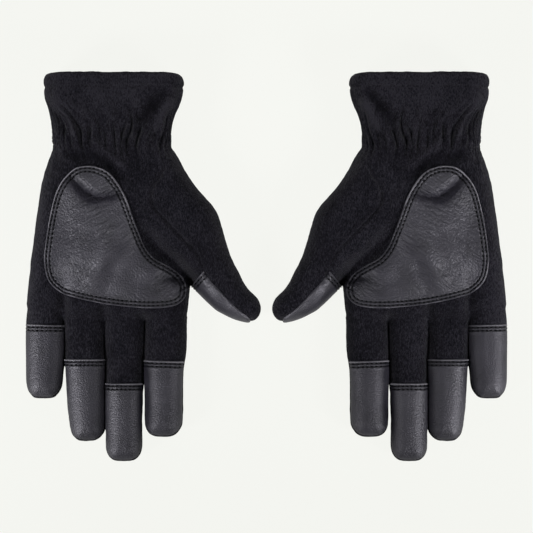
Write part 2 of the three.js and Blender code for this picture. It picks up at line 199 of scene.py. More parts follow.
def smooth(t):
    t = np.clip(t, 0, 1)
    return t * t * (3 - 2 * t)


def bell(value, width):
    """1 where a value is 0, falling off on both sides."""
    return np.exp(-((value / width) ** 2))


def spot(points, middle, reach):
    """1 at a place in the plane, falling off around it."""
    return np.exp(-np.sum((points[:, :2] - middle) ** 2, axis=1) / reach**2)


def smooth_min(a, b, k):
    h = np.clip(k - np.abs(a - b), 0, None) / k
    return np.minimum(a, b) - h * h * k / 4


def lengths(line):
    """How far along a line each of its points is."""
    return np.r_[0, np.cumsum(np.linalg.norm(np.diff(line, axis=0), axis=1))]


def curve(points, step, closed=True):
    """Evenly spaced points on a smooth curve through the given ones."""
    p = np.array(points, float)
    ring = np.vstack([p[-1:], p, p[:2]]) if closed else np.vstack([2 * p[0] - p[1], p, 2 * p[-1] - p[-2]])
    fine = []
    for k in range(1, len(ring) - 2):
        a, b, c, d = ring[k - 1 : k + 3]
        t = np.linspace(0, 1, 12, endpoint=False)[:, None]
        fine.append(
            0.5 * (2 * b + (c - a) * t + (2 * a - 5 * b + 4 * c - d) * t**2 + (3 * b - a - 3 * c + d) * t**3)
        )
    fine = np.vstack(fine + [ring[1:2] if closed else ring[-2:-1]])
    along = lengths(fine)
    count = max(3, round(along[-1] / step))
    at = np.linspace(0, along[-1], count + 1)
    even = np.stack([np.interp(at, along, fine[:, axis]) for axis in range(fine.shape[1])], 1)
    return even[:-1] if closed else even


def distance(points, line, closed=True):
    """Distance in the plane from each point to a line of points, negative inside a closed one."""
    points = points[:, :2]
    start = line if closed else line[:-1]
    end = np.roll(line, -1, axis=0) if closed else line[1:]
    best = np.full(len(points), 1e9)
    inside = np.zeros(len(points), bool)
    for a, b in zip(start, end):
        ab = b - a
        ap = points - a
        t = np.clip((ap @ ab) / max(ab @ ab, 1e-12), 0, 1)
        best = np.minimum(best, np.sum((ap - t[:, None] * ab) ** 2, axis=1))
        if closed and a[1] != b[1]:
            crossing = (a[1] > points[:, 1]) != (b[1] > points[:, 1])
            inside ^= crossing & (points[:, 0] < a[0] + (points[:, 1] - a[1]) * ab[0] / ab[1])
    best = np.sqrt(best)
    return np.where(inside, -best, best) if closed else best


def polygon(points, step=1.5):
    """A closed line with straight sides, with points along its shorter sides."""
    p = np.array(points, float)
    rows = []
    for a, b in zip(p, np.roll(p, -1, axis=0)):
        length = np.linalg.norm(b - a)
        count = max(1, int(length / step)) if length < 60 else 1
        rows.append(a + (b - a) * (np.arange(count) / count)[:, None])
    return np.vstack(rows)


class Plan:
    """Values over the plane, kept on a grid."""

    STEP = 0.8

    def __init__(self, low, high, function):
        self.low = np.array(low, float)
        shape = np.ceil((np.array(high) - low) / self.STEP).astype(int) + 1
        x, y = np.meshgrid(*(self.low[k] + np.arange(shape[k]) * self.STEP for k in (0, 1)), indexing="ij")
        columns = function(np.stack([x.ravel(), y.ravel()], 1))
        self.values = np.stack([column.reshape(shape) for column in columns], -1)

    def __call__(self, points):
        q = (points[:, :2] - self.low) / self.STEP
        q = np.clip(q, 0, np.array(self.values.shape[:2]) - 1.001)
        i = q.astype(int)
        f = q - i
        v = self.values
        low = v[i[:, 0], i[:, 1]] * (1 - f[:, :1]) + v[i[:, 0] + 1, i[:, 1]] * f[:, :1]
        high = v[i[:, 0], i[:, 1] + 1] * (1 - f[:, :1]) + v[i[:, 0] + 1, i[:, 1] + 1] * f[:, :1]
        return (low * (1 - f[:, 1:]) + high * f[:, 1:]).T


# ---- the glove's form
valley_line = curve(THUMB_VALLEY, 2, False)


def hand_plan(points):
    form = np.array(HAND_FORM)
    weight = 1 / (np.sum((points[:, None] - form[None, :, :2]) ** 2, axis=2) + 60) ** 2.5
    top, edge = (weight @ form[:, 2:] / weight.sum(1)[:, None]).T
    palm_side = distance(points, np.vstack([valley_line, [(20, -60), (60, 0), (20, 60)]])) < 0
    width = np.where(palm_side, 8, 4.2)
    depth = 5.6 * smooth((31 - points[:, 1]) / 18)
    top = top - depth * bell(distance(points, valley_line, False), width)
    for lane, start in ((-12.1, -23), (11.8, -18.5), (36.8, -10)):
        top = top - 5 * smooth((start - points[:, 1]) / 13) * bell(points[:, 0] - lane, 2.8)
    return distance(points, curve(HAND, 1.5)), top, edge


def finger_outline(name):
    rows = np.array(FINGER_EDGES[name])
    return curve(np.vstack([rows[:, [2, 0]], rows[::-1, [1, 0]]]), 1)


OUTLINES = {name: finger_outline(name) for name in FINGERS}
hand_field = Plan((-92, -42), (68, 140), hand_plan)
finger_fields = {
    name: Plan(outline.min(0) - FIELD_EDGE, outline.max(0) + FIELD_EDGE, lambda p, o=outline: (distance(p, o),))
    for name, outline in OUTLINES.items()
}


def rounded(edge_distance, height, top, edge):
    """A closed form with a rounded edge, as a field that is 0 on its surface and negative inside."""
    power = 2.25  # 2 would make a round edge
    half = (top + SINK) / 2
    across = np.maximum(edge_distance + edge, 0) / edge
    up = np.abs(height - (top - SINK) / 2) / half
    return ((across**power + up**power) ** (1 / power) - 1) * np.minimum(edge, half)


def finger_form(points, name):
    (edge_distance,) = finger_fields[name](points)
    low, high = OUTLINES[name].min(0) - FIELD_EDGE, OUTLINES[name].max(0) + FIELD_EDGE
    outside = np.any((points[:, :2] < low) | (points[:, :2] > high), axis=1)
    return np.where(outside, 9.0, rounded(edge_distance, points[:, 2], FINGER_TOP, FINGER_ROUND[name]))


def form(points):
    """The whole glove's outer surface."""
    edge_distance, top, edge = hand_field(points)
    value = rounded(edge_distance, points[:, 2], top, edge)
    k = 0.8 + 3.7 * smooth((points[:, 1] + 38) / 16)
    for name in FINGERS:
        value = smooth_min(value, finger_form(points, name), k)
    return -smooth_min(-value, points[:, 2], 1.6)


def gradient(field, points, step=0.3):
    slopes = []
    for axis in range(3):
        shift = np.zeros(3)
        shift[axis] = step
        slopes.append((field(points + shift) - field(points - shift)) / (2 * step))
    return np.stack(slopes, 1)


def onto(field, points, rounds=3):
    """Points moved to where the field is 0, and the surface's outward normals there."""
    for _ in range(rounds):
        slope = gradient(field, points)
        size = np.maximum(np.sum(slope**2, axis=1), 0.05)
        points = points - np.clip(field(points) / size, -1.5, 1.5)[:, None] * slope
    slope = gradient(field, points)
    return points, slope / np.maximum(np.linalg.norm(slope, axis=1), 1e-9)[:, None]


def skin(field, low, high, step):
    """The surface where a field is 0, as triangles, by joining one point in each cell that it crosses."""
    axes = [np.arange(l, h + step, step) for l, h in zip(low, high)]
    shape = [len(axis) for axis in axes]
    grid = np.stack(np.meshgrid(*axes, indexing="ij"), -1).reshape(-1, 3)
    value = field(grid).reshape(shape)
    inside = value < 0
    cells = [n - 1 for n in shape]
    total = np.zeros(cells + [3])
    count = np.zeros(cells)

    def corner(array, bits):
        return array[tuple(slice(bit, bit + n) for bit, n in zip(bits, cells))]

    corners = [(a, b, c) for a in (0, 1) for b in (0, 1) for c in (0, 1)]
    for start in corners:
        for axis in range(3):
            if start[axis]:
                continue
            end = tuple(1 if k == axis else start[k] for k in range(3))
            crosses = corner(inside, start) != corner(inside, end)
            a, b = corner(value, start), corner(value, end)
            t = np.where(crosses, a / np.where(crosses, a - b, 1), 0)
            place = np.zeros(cells + [3])
            place[...] = start
            place[..., axis] = t
            total += place * crosses[..., None]
            count += crosses
    active = count > 0
    number = np.full(cells, -1)
    number[active] = np.arange(active.sum())
    base = np.stack(np.nonzero(active), 1)
    points = (base + total[active] / count[active][:, None]) * step + np.array(low)
    faces = []
    for axis in range(3):
        u, v = (axis + 1) % 3, (axis + 2) % 3
        ahead = np.take(inside, range(1, shape[axis]), axis)
        behind = np.take(inside, range(shape[axis] - 1), axis)
        edge = np.stack(np.nonzero(ahead != behind), 1)
        edge = edge[(edge[:, u] > 0) & (edge[:, v] > 0) & (edge[:, u] < cells[u]) & (edge[:, v] < cells[v])]
        leaving = behind[tuple(edge.T)]
        around = []
        for du, dv in ((1, 1), (0, 1), (0, 0), (1, 0)):
            cell = edge.copy()
            cell[:, u] -= du
            cell[:, v] -= dv
            around.append(number[tuple(cell.T)])
        quad = np.stack(around, 1)
        quad[~leaving] = quad[~leaving][:, ::-1]
        quad = quad[(quad >= 0).all(1)]
        faces += [quad[:, [0, 1, 2]], quad[:, [0, 2, 3]]]
    return points, np.vstack(faces)


# ---- cutting surfaces into pieces
def trim(points, faces, *columns):
    """Only the points that faces use; the columns go with them."""
    used, inverse = np.unique(faces, return_inverse=True)
    return (points[used], inverse.reshape(faces.shape), *(column[used] for column in columns))


def cut(surface, value):
    """Splits a surface, a tuple of points, faces and more columns, along the line where value is 0.
    Gives the part where it is positive, then the part where it is negative."""
    points, faces, *columns = surface
    value = np.where(np.abs(value) < 0.02, 0.02, value)
    positive = value > 0
    amount = positive[faces].sum(1)
    whole = {True: faces[amount == 3], False: faces[amount == 0]}
    mixed = faces[(amount == 1) | (amount == 2)]
    lone_positive = positive[mixed].sum(1) == 1
    lone = np.argmax(positive[mixed] == lone_positive[:, None], axis=1)
    rows = np.arange(len(mixed))
    a, b, c = (mixed[rows, (lone + k) % 3] for k in range(3))
    pairs = np.sort(np.vstack([np.stack([a, b], 1), np.stack([a, c], 1)]), axis=1)
    edges, inverse = np.unique(pairs, axis=0, return_inverse=True)
    inverse = inverse.ravel()
    share = value[edges[:, 0]] / (value[edges[:, 0]] - value[edges[:, 1]])
    new = [
        np.concatenate([column, blend_rows(column[edges[:, 0]], column[edges[:, 1]], share)])
        for column in (points, *columns)
    ]
    ab, ac = (inverse[: len(mixed)] + len(points)), (inverse[len(mixed) :] + len(points))
    tip = np.stack([a, ab, ac], 1)
    rest = np.vstack([np.stack([ab, b, c], 1), np.stack([ab, c, ac], 1)])
    twice = np.r_[lone_positive, lone_positive]
    parts = []
    for side in (True, False):
        chosen = np.vstack([whole[side], tip[lone_positive == side], rest[twice != side]])
        parts.append(trim(new[0], chosen, *new[1:]))
    return parts


def scored(surface, value):
    """The same surface with an edge along the line where value is 0."""
    one, two = cut((*surface, np.arange(len(surface[0]), dtype=float)), value)
    points = np.vstack([one[0], two[0]])
    _, first, same = np.unique(np.round(points, 5), axis=0, return_index=True, return_inverse=True)
    same = same.ravel()
    faces = same[np.vstack([one[1], two[1] + len(one[0])])]
    columns = [np.concatenate([a, b])[first] for a, b in zip(one[2:-1], two[2:-1])]
    return (points[first], faces, *columns)


def blend_rows(a, b, share):
    share = share.reshape(-1, *[1] * (a.ndim - 1))
    return a * (1 - share) + b * share


# ---- how the cloth lies
WRIST_X, WRIST_Y, WRIST_Z = 7, 79, 14.5
WRIST_HALF_WIDTH, WRIST_HALF_HEIGHT = 38, 15
GATHERS, FINE_GATHERS, WIDE_GATHERS = 42, 71, 13  # folds all the way round the wrist


def wrist_place(points):
    """How far round the wrist, an ellipse, a point is, and the whole way round, in millimetres."""
    turn = np.arctan2((points[:, 2] - WRIST_Z) / WRIST_HALF_HEIGHT, (points[:, 0] - WRIST_X) / 37.5)
    table = np.linspace(-np.pi, np.pi, 721)
    speed = np.hypot(WRIST_HALF_WIDTH * np.sin(table), WRIST_HALF_HEIGHT * np.cos(table))
    along = np.r_[0, np.cumsum((speed[1:] + speed[:-1]) / 2 * np.diff(table))]
    return np.interp(turn, table, along), along[-1]


def gathers(points):
    place, length = wrist_place(points)
    y = points[:, 1]
    ring = np.stack([place, y * 0.32, np.zeros(len(y))], 1)
    wander = noise(ring, (5, 5, 9), 3) * 2.1 + noise(points, (20, 16, 20), 4) * 3.2
    reach = 8.5 + 3 * noise(ring, (5, 1000, 9), 6)
    strength = bell(y - WRIST_Y, reach) + 0.3 * bell(y - 92, 8)
    place = place + (0.08 + 0.25 * smooth((points[:, 0] + 5) / 30)) * (y - WRIST_Y) * (points[:, 2] > 8)
    phase = (place + wander) * GATHERS / length
    ridge = 1 - 2 * np.abs(np.sin(np.pi * phase)) ** 0.8
    uneven = np.clip(0.95 + 0.75 * noise(ring, (6, 6, 7), 5), 0.4, 1.7)
    fine = 1 - 2 * np.abs(np.sin(np.pi * (place + wander * 0.6) * FINE_GATHERS / length))
    wide = np.cos(2 * np.pi * ((place + wander * 1.5) * WIDE_GATHERS / length))
    spread = bell(y - 99, 12) + 0.6 * bell(y - 62, 9)
    return -1.15 * ridge * uneven * strength - 0.4 * fine * bell(y - WRIST_Y, 6) + 0.6 * wide * spread


def groove(value, width, depth):
    return -depth * bell(value, width)


seam_line = curve(THUMB_SEAM[:10], 1.5, False)
SEAM_Z = 13
PALM_CREASE = curve([(31, 54.5), (26.5, 49.5), (22.4, 45.8), (17, 43), (12.6, 42.2), (2.8, 44.6)], 2, False)
CLOTH_FOLDS = 8  # the first folds lie outside the leather; the fleece is painted paler on their ridges and darker in their valleys, as painted light and shade
# Broad folds, seen on the palm side: the line, its width and its height
FOLDS = [
    ([(44, 106), (40, 99), (33.5, 89), (29, 78)], 2.0, 2), ([(43, 98), (38.5, 89), (35, 79)], 2.2, -1.6),
    ([(-30, 110), (-20, 100), (-9, 86)], 3.4, -2.3), ([(-30, 104), (-24, 92), (-19, 80)], 2.4, 2.2),
    ([(38, 71), (29, 68), (17, 66), (5, 60), (-4, 49)], 3.2, -1.2), ([(31, 78), (22, 72), (12, 66)], 1.6, -0.6),
    ([(19, 78), (8, 68), (-2, 60)], 1.8, 1), ([(0, 80), (-8, 68), (-13, 57)], 2.2, -0.9),
    ([(29, 57), (22, 51.5), (14, 48), (7, 49)], 3.2, 0.7), ([(24, -20), (19, -8), (11, 6), (2, 20)], 5, 1),
    ([(14, -19), (8, -6), (1, 8)], 4, -0.8), ([(-38, -10), (-30, -7), (-22, -6)], 1.8, -1),
]
folds = [(curve(line, 2, False), width, height) for line, width, height in FOLDS]
painted_shine = [(curve(line, 2, False), width, amount) for line, width, amount in PAINTED_SHINE]
patch_line = polygon(PALM_PATCH)


def fold_height(points, line, width, height):
    """A soft ridge along a line, or a valley where its height is negative, that fades at both ends."""
    out = height * bell(distance(points, line, False), width)
    for end in (line[0], line[-1]):
        out *= 1 - spot(points, end, 1.4 * width)
    return out


def under_leather(points):
    """1 well inside the palm patch and the finger grips, 0 outside them."""
    x, y = points[:, 0], points[:, 1]
    lanes = [x < LANES[name][1] for name in FINGERS]
    top = np.select(lanes, [min(PAD_TOP[name]) for name in FINGERS])
    return np.maximum(smooth((top - y) / 6), smooth(-distance(points, patch_line) / 6))


def relief(points):
    """How far the cloth's surface stands out from the plain form, in millimetres."""
    x, y, z = points.T
    hand = smooth((y + 34) / 12)
    out = gathers(points) * hand
    loose = 1 - 0.75 * under_leather(points)
    out += (0.5 * noise(points, (22, 26, 18), 11) + 0.22 * noise(points, (9, 12, 8), 12)) * loose
    lean = points @ np.array([[0.85, 0.5, 0], [-0.5, 0.85, 0], [0, 0, 1]])
    ball = bell(x + 38, 22) * bell(y - 24, 26)
    out += 0.45 * noise(lean, (7, 30, 14), 15) * ball
    out += sum(fold_height(points, *fold) for fold in folds) * (z > SEAM_Z)
    digits = smooth((-y - 36) / 10) * (x > -40)
    out += 0.22 * noise(points, (16, 6.5, 12), 16) * digits * loose
    out += groove(distance(points, PALM_CREASE, False), 2.3, 2.1) * (z > SEAM_Z)
    seam = distance(points, seam_line, False)
    out += (groove(seam, 0.9, 0.9) - groove(seam - 2, 1.1, 0.35)) * hand * smooth((70 - y) / 10)
    out += groove(z - SEAM_Z, 1.0, 0.5) * hand * smooth((x + 41) / 4 + smooth((y - 60) / 10))
    hem = y - (CUFF_Y - HEM_DEPTH)
    out += groove(hem, 0.9, 0.6) + 0.35 * smooth(hem / 2.5)
    return out


def napped(points):
    """The same with the fleece's own uneven nap."""
    fuzz = 0.13 * noise(points, (2.4, 4.6, 2.4), 13) + 0.09 * noise(points, (1.3, 2.2, 1.3), 14)
    return relief(points) + fuzz


def dressed(surface, offset=0.0, amount=1.0, relief=napped):
    """A surface with the cloth's relief, standing off by an offset."""
    points, faces, normals = surface[:3]
    height = relief(points)
    side = np.cross(normals, np.where(np.abs(normals[:, 2:]) < 0.8, [[0, 0, 1]], [[1, 0, 0]]))
    side /= np.linalg.norm(side, axis=1)[:, None]
    leaning = normals.copy()
    step = 0.4
    for way in (side, np.cross(normals, side)):
        leaning -= ((relief(points + way * step) - height) / step * amount)[:, None] * way
    leaning /= np.linalg.norm(leaning, axis=1)[:, None]
    moved = points + normals * (height * amount + offset)[:, None]
    moved[:, 2] = np.maximum(moved[:, 2], FLOOR_GAP)
    return moved, faces, leaning


# ---- materials
class Look:
    """A material made of nodes, and short ways to make them."""

    def __init__(self, name):
        self.material = bpy.data.materials.new(name)
        self.material.use_nodes = True
        self.tree = self.material.node_tree

    def fill(self, node, inputs):
        """Gives each input a number, or the output of another node."""
        for name, value in inputs.items():
            if isinstance(value, bpy.types.NodeSocket):
                self.tree.links.new(value, node.inputs[name])
            else:
                node.inputs[name].default_value = value

    def shaded(self, inputs):
        """The material, with these inputs of its shader."""
        self.fill(self.tree.nodes["Principled BSDF"], inputs)
        return self.material

    def node(self, kind, inputs, **settings):
        node = self.tree.nodes.new(kind)
        for name, value in settings.items():
            setattr(node, name, value)
        self.fill(node, inputs)
        return node

    def place(self, scale=(1, 1, 1), turn=None):
        """Positions on the object, in millimetres, stretched by one number for each axis.
        With a turn, they are first made mirror images on the two gloves, and turned."""
        where = self.node("ShaderNodeTexCoord", {}).outputs["Object"]
        if turn is not None:
            x, y, z = self.node("ShaderNodeSeparateXYZ", {0: where}).outputs
            join = self.node("ShaderNodeCombineXYZ", {0: self.compute("ABSOLUTE", x), 1: y, 2: z})
            turned = self.node("ShaderNodeMapping", {"Vector": join.outputs[0], "Rotation": (0, 0, turn)})
            where = turned.outputs["Vector"]
        return self.node("ShaderNodeMapping", {"Vector": where, "Scale": [s / MM for s in scale]}).outputs["Vector"]

    def mark(self, name):
        """A number that the mesh keeps for each of its points."""
        return self.node("ShaderNodeAttribute", {}, attribute_name=name).outputs["Fac"]

    def noise(self, place, detail, roughness=0.6, scale=1):
        inputs = {"Vector": place, "Scale": scale, "Detail": detail, "Roughness": roughness}
        return self.node("ShaderNodeTexNoise", inputs).outputs["Fac"]

    def wave(self, direction, scale, distortion):
        inputs = {"Vector": self.place(), "Scale": scale, "Distortion": distortion}
        return self.node("ShaderNodeTexWave", inputs, bands_direction=direction).outputs["Fac"]

    def compute(self, operation, *inputs):
        return self.node("ShaderNodeMath", dict(enumerate(inputs)), operation=operation).outputs[0]

    def mixed(self, value, *others):
        """A value plus shares of others."""
        for other, share in others:
            value = self.compute("MULTIPLY_ADD", other, share, value)
        return value

    def ramp(self, value, *stops):
        """Colours between stops, which need not lie from 0 to 1."""
        low, high = stops[0][0], stops[-1][0]
        span = self.node("ShaderNodeMapRange", {"Value": value, "From Min": low, "From Max": high})
        node = self.node("ShaderNodeValToRGB", {"Fac": span.outputs["Result"]})
        colours = node.color_ramp.elements
        colours[0].color, colours[1].color = (*stops[0][1], 1), (*stops[-1][1], 1)
        for position, colour in stops[1:-1]:
            colours.new((position - low) / (high - low)).color = (*colour, 1)
        return node.outputs["Color"]

    def bumps(self, *layers):
        """Bumps one over another: the height, the depth in millimetres and the strength of each."""
        under = {}
        for height, depth, strength in layers:
            inputs = {"Height": height, "Distance": depth * MM, "Strength": strength, **under}
            under = {"Normal": self.node("ShaderNodeBump", inputs).outputs["Normal"]}
        return under["Normal"]


def fleece_material():
    look = Look("fleece")
    nap = look.noise(look.place((1.5, 0.55, 1.5)), 3)
    fibre = look.noise(look.place((2.3, 1, 2.3)), 3, 0.7)
    patchy = look.noise(look.place((0.07, 0.05, 0.07)), 3)
    # The mark adds painted light and shade to the fleece's tone.
    tone = look.mixed(nap, (fibre, 0.5), (patchy, 0.25), (look.mark("painted_light"), 0.1))
    dark, middle, pale = (0.0021, 0.0020, 0.0029), (0.0058, 0.0055, 0.0080), (0.0175, 0.0166, 0.0214)
    return look.shaded({
        "Base Color": look.ramp(tone, (0.69, dark), (0.87, middle), (1.02, pale)),
        "Roughness": 0.95,
        "Specular IOR Level": 0,
        "Sheen Weight": 0.04,
        "Sheen Roughness": 0.5,
        "Normal": look.bumps((nap, 1.1, 0.9), (fibre, 0.5, 0.9)),
    })


def leather_material(name, pebble_size, pebble_depth, smoothest, dullest):
    look = Look(name)
    where = look.place()
    cell_inputs = {"Vector": where, "Scale": 1 / pebble_size, "Smoothness": 0.5}
    cells = look.node("ShaderNodeTexVoronoi", cell_inputs, feature="SMOOTH_F1").outputs["Distance"]
    pebble = look.ramp(cells, (0.1, (1, 1, 1)), (0.4, (0.7, 0.7, 0.7)), (0.8, (0, 0, 0)))
    fine = look.noise(where, 4, 0.65, 0.9)
    broad = look.noise(where, 3, scale=0.06)
    stretched = look.noise(look.place((0.14, 0.42, 0.3)), 4)
    # The mark adds a painted highlight on the rolled edges and painted shade in the stitch rows to the tone.
    tone = look.mixed(broad, (fine, 0.5), (look.mark("painted_light"), 0.55))
    dark, middle, pale = (0.003, 0.003, 0.0045), (0.0100, 0.0094, 0.0135), (0.017, 0.016, 0.021)
    # The palest colour, reached mostly where the painted highlight lies on the rolled edges.
    painted_highlight = (0.13, 0.126, 0.142)
    lines = look.noise(look.place((0.16, 0.8, 0.3), math.radians(32)), 2, 0.5)
    # The crease lines dent the leather, and also get painted shade by lowering its shine; with the painted shade
    # and highlight strokes they set the specular level.
    creases = look.compute("MULTIPLY", look.compute("SUBTRACT", lines, 0.5), look.mark("creased"))
    painted_shade_and_highlight = look.mixed(look.mark("painted_shade_and_highlight"), (creases, -1.2))
    gloss = look.node("ShaderNodeMapRange", {"Value": painted_shade_and_highlight, "From Min": -1, "To Min": 1, "To Max": 0.1})
    rough = look.node("ShaderNodeMapRange", {"Value": fine, "To Min": smoothest, "To Max": dullest})
    return look.shaded({
        "Base Color": look.ramp(tone, (0.5, dark), (0.78, middle), (1.1, pale), (1.35, painted_highlight)),
        "Roughness": rough.outputs["Result"],
        "Specular IOR Level": gloss.outputs["Result"],
        "Specular Tint": (0.93, 0.91, 1, 1),
        "Normal": look.bumps((pebble, pebble_depth, 0.6), (fine, pebble_depth * 0.5, 0.7), (stretched, 0.12, 0.5),
                             (creases, 1.3, 0.8)),
    })


def thread_material():
    look = Look("thread")
    twist = look.wave("DIAGONAL", 1.1, 1.5)
    return look.shaded({
        "Base Color": look.ramp(twist, (0.2, (0.001, 0.001, 0.0013)), (0.9, (0.004, 0.004, 0.0048))),
        "Roughness": 0.9,
        "Specular IOR Level": 0.08,
        "Normal": look.bumps((twist, 0.1, 0.6)),
    })


def elastic_material():
    look = Look("elastic")
    ribs = look.wave("Y", 0.32, 0.6)
    return look.shaded({
        "Base Color": look.ramp(ribs, (0.1, (0.006, 0.006, 0.007)), (0.9, (0.018, 0.018, 0.021))),
        "Roughness": 0.8,
        "Normal": look.bumps((ribs, 0.3, 0.8)),
    })


FLEECE, THREAD, ELASTIC = fleece_material(), thread_material(), elastic_material()
PALM_LEATHER = leather_material("palm_leather", 1.15, 0.34, 0.52, 0.64)
FINGER_LEATHER = leather_material("finger_leather", 0.75, 0.2, 0.5, 0.6)


# ---- pieces in the scene
def mesh_object(name, shape, material, side, marks):
    points, faces, *normals = shape
    points = points + [MIDDLE_X, 0, 0]
    if SIDES[side] < 0:
        mirror = [-1, 1, 1]
        points, faces, normals = points * mirror, faces[:, ::-1], [n * mirror for n in normals]
    data = bpy.data.meshes.new(name)
    data.vertices.add(len(points))
    data.vertices.foreach_set("co", (points * MM).astype(np.float32).ravel())
    data.loops.add(faces.size)
    data.loops.foreach_set("vertex_index", faces.ravel().astype(np.int32))
    data.polygons.add(len(faces))
    data.polygons.foreach_set("loop_start", np.arange(0, faces.size, 3, dtype=np.int32))
    data.update(calc_edges=True)
    data.polygons.foreach_set("use_smooth", np.ones(len(data.polygons), bool))
    if normals:
        data.normals_split_custom_set_from_vertices(normals[0])
    for mark, values in marks.items():
        data.attributes.new(mark, "FLOAT", "POINT").data.foreach_set("value", values.astype(np.float32))
    data.materials.append(material)
    made = bpy.data.objects.new(name, data)
    bpy.context.scene.collection.objects.link(made)
    return made


def add(name, shape, material, digit=None, stands_for=(), marks=None):
    """One piece for each hand. A digit's piece has its place baked into its points and no parent, and any other
    rides with the hand.
    """
    if material is FLEECE:
        # Painted light and shade, kept on the fleece's points
        marks = {"painted_light": painted_fleece_light(shape[0])}
    for side in SIDES:
        piece = mesh_object(f"{side}_{name}", shape, material, side, marks or {})
        nodes = [f"{side}_{node}" for node in stands_for]
        if nodes:
            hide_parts(*nodes)
        if digit:
            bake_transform(piece)
        else:
            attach(piece, f"{side}_hand")


# ---- fleece
INSIDE = -0.8


def painted_fleece_light(points):
    """Painted light and shade on the fleece: paler on the cuff and on the outer edge of the hand, where the lamps
    fall, and paler on the ridges and darker in the valleys of the gathers and folds.
    """
    x, y, z = points.T
    broad = sum(fold_height(points, *fold) for fold in folds[:CLOTH_FOLDS]) * (z > SEAM_Z)
    raised = 0.5 * gathers(points) + 0.9 * broad
    return 0.8 * smooth((y - 82) / 26) + 0.8 * smooth((x - 40) / 16) * smooth((90 - y) / 10) + raised


def cloth_surface(field, low, high, step):
    points, faces = skin(field, low, high, step)
    points, normals = onto(field, points)
    return points, faces, normals


def lane_wall(points, name):
    """Keeps a finger clear of its neighbours past the point where they part."""
    low, high = LANES[name]
    x, y = points[:, 0], points[:, 1]
    return np.maximum(low - x + lane_gap(low, y), x - high + lane_gap(high, y))


def lane_gap(lane, y):
    """Half the gap beside a lane's edge: below 0, neighbours overlap, as they do until they part."""
    return 0.75 * smooth((PARTING[lane] - y) / 8) - 0.35


def finger_field(name):
    """The form of one finger, apart from its neighbours."""
    return lambda points: np.maximum(form(points), lane_wall(points, name))


def hand_body(points):
    """The glove's solid form from the fingers' roots to the open cuff, hollow as far as the palm."""
    value = form(points)
    x, y = points[:, 0], points[:, 1]
    wall = CLOTH + HEM_CLOTH * smooth((y - CUFF_Y + HEM_DEPTH) / 0.8)
    hollow = smooth_min(-value - wall, y - HOLLOW_END, 4)
    value = -smooth_min(-value, -hollow, 0.6)
    corner = 2.8 * np.minimum(np.abs(x - 6.3) / 42.8, 1.03) ** 20  # rounds the rim's two ends
    value = -smooth_min(-value, -(y - CUFF_Y + corner), 2.2)
    beside_little = np.minimum(x - LANES["little"][0] - 0.2, CROTCH["little"] - 1.2 - y)
    return np.maximum(value, beside_little)


def on_thumb(points):
    """Positive on the part of the thumb that folds."""
    past_cut, past_crotch = ((points[:, :2] - at) @ way for at, way in map(np.array, (THUMB_CUT, THUMB_CROTCH)))
    return np.minimum(past_cut, past_crotch)


def make_hand():
    surface = cloth_surface(hand_body, (-88, -30.5, -1), (63, CUFF_Y + 1.5, 40), GRID["hand"])
    x, y = surface[0][:, 0], surface[0][:, 1]
    surface = cut(surface, y - np.where(x < LANES["little"][0], CROTCH["ring"], CROTCH["little"]))[0]
    depth = np.where(surface[0][:, 1] > HOLLOW_END - 4, form(surface[0]) + 1.1, 1.0)
    outer, inside = cut(surface, depth)
    hem, lining = cut(inside, inside[0][:, 1] - (CUFF_Y - HEM_DEPTH))
    outer = cut(outer, -on_thumb(outer[0]))[0]
    seam = distance(outer[0], polygon(THUMB_SEAM))
    rest, gusset = cut(outer, seam)
    palm, back = cut(rest, rest[0][:, 2] - SEAM_Z)
    for name, piece, node in (("palm", palm, "palm_panel"), ("back", back, "back_panel"),
                              ("thumb_gusset", gusset, "thumb_gusset")):
        add(f"{name}_fleece", dressed(piece), FLEECE, stands_for=[node])
    # Inside, the relief is seen from its other side, and is weaker.
    add("cuff_hem_fleece", dressed(hem, 0, INSIDE), FLEECE, stands_for=["cuff_hem"])
    add("lining_fleece", dressed(lining, 0, INSIDE), FLEECE)
    low, high = (corner[1] for corner in cad("wrist_elastic"))
    inside_band = lambda points: (high - low) / 2 - np.abs(points[:, 1] - (low + high) / 2)
    band = cut(lining, inside_band(lining[0]))[0]
    add("wrist_elastic_band", dressed(band, 1.3 * smooth(inside_band(band[0]) / 0.9) - 0.3, INSIDE)[:2], ELASTIC,
        stands_for=["wrist_elastic"])


def make_thumb():
    surface = cloth_surface(form, (-88, -37, -1), (-38, 14, 33), GRID["hand"])
    surface = cut(surface, on_thumb(surface[0]))[0]
    add("thumb_sleeve_fleece", dressed(surface), FLEECE, "thumb", ["thumb_sleeve"])


def make_finger(name):
    outline = OUTLINES[name]
    low, high = outline.min(0), outline.max(0)
    box = (low[0] - 2.5, low[1] - 2, -1), (high[0] + 2.5, CROTCH[name] + 2, 27)
    surface = cloth_surface(finger_field(name), *box, GRID["finger"])
    surface = cut(surface, CROTCH[name] - surface[0][:, 1])[0]
    centre = (low[0] + high[0]) / 2
    for side, way in STRIPS[name]:
        x, y, z = surface[0].T
        strip, surface = cut(surface, np.minimum.reduce([z - STRIP_Z[0], STRIP_Z[1] - z, (x - centre) * way,
                                                         y - low[1] - 14]))
        piece = f"{name}_strip_{side}"
        add(f"{piece}_fleece", dressed(strip), FLEECE, name, [piece])
    front, back = cut(surface, surface[0][:, 2] - (STRIP_Z[0] + STRIP_Z[1]) / 2)
    add(f"{name}_front_fleece", dressed(front), FLEECE, name, [f"{name}_front"])
    add(f"{name}_back_fleece", dressed(back), FLEECE, name, [f"{name}_back"])


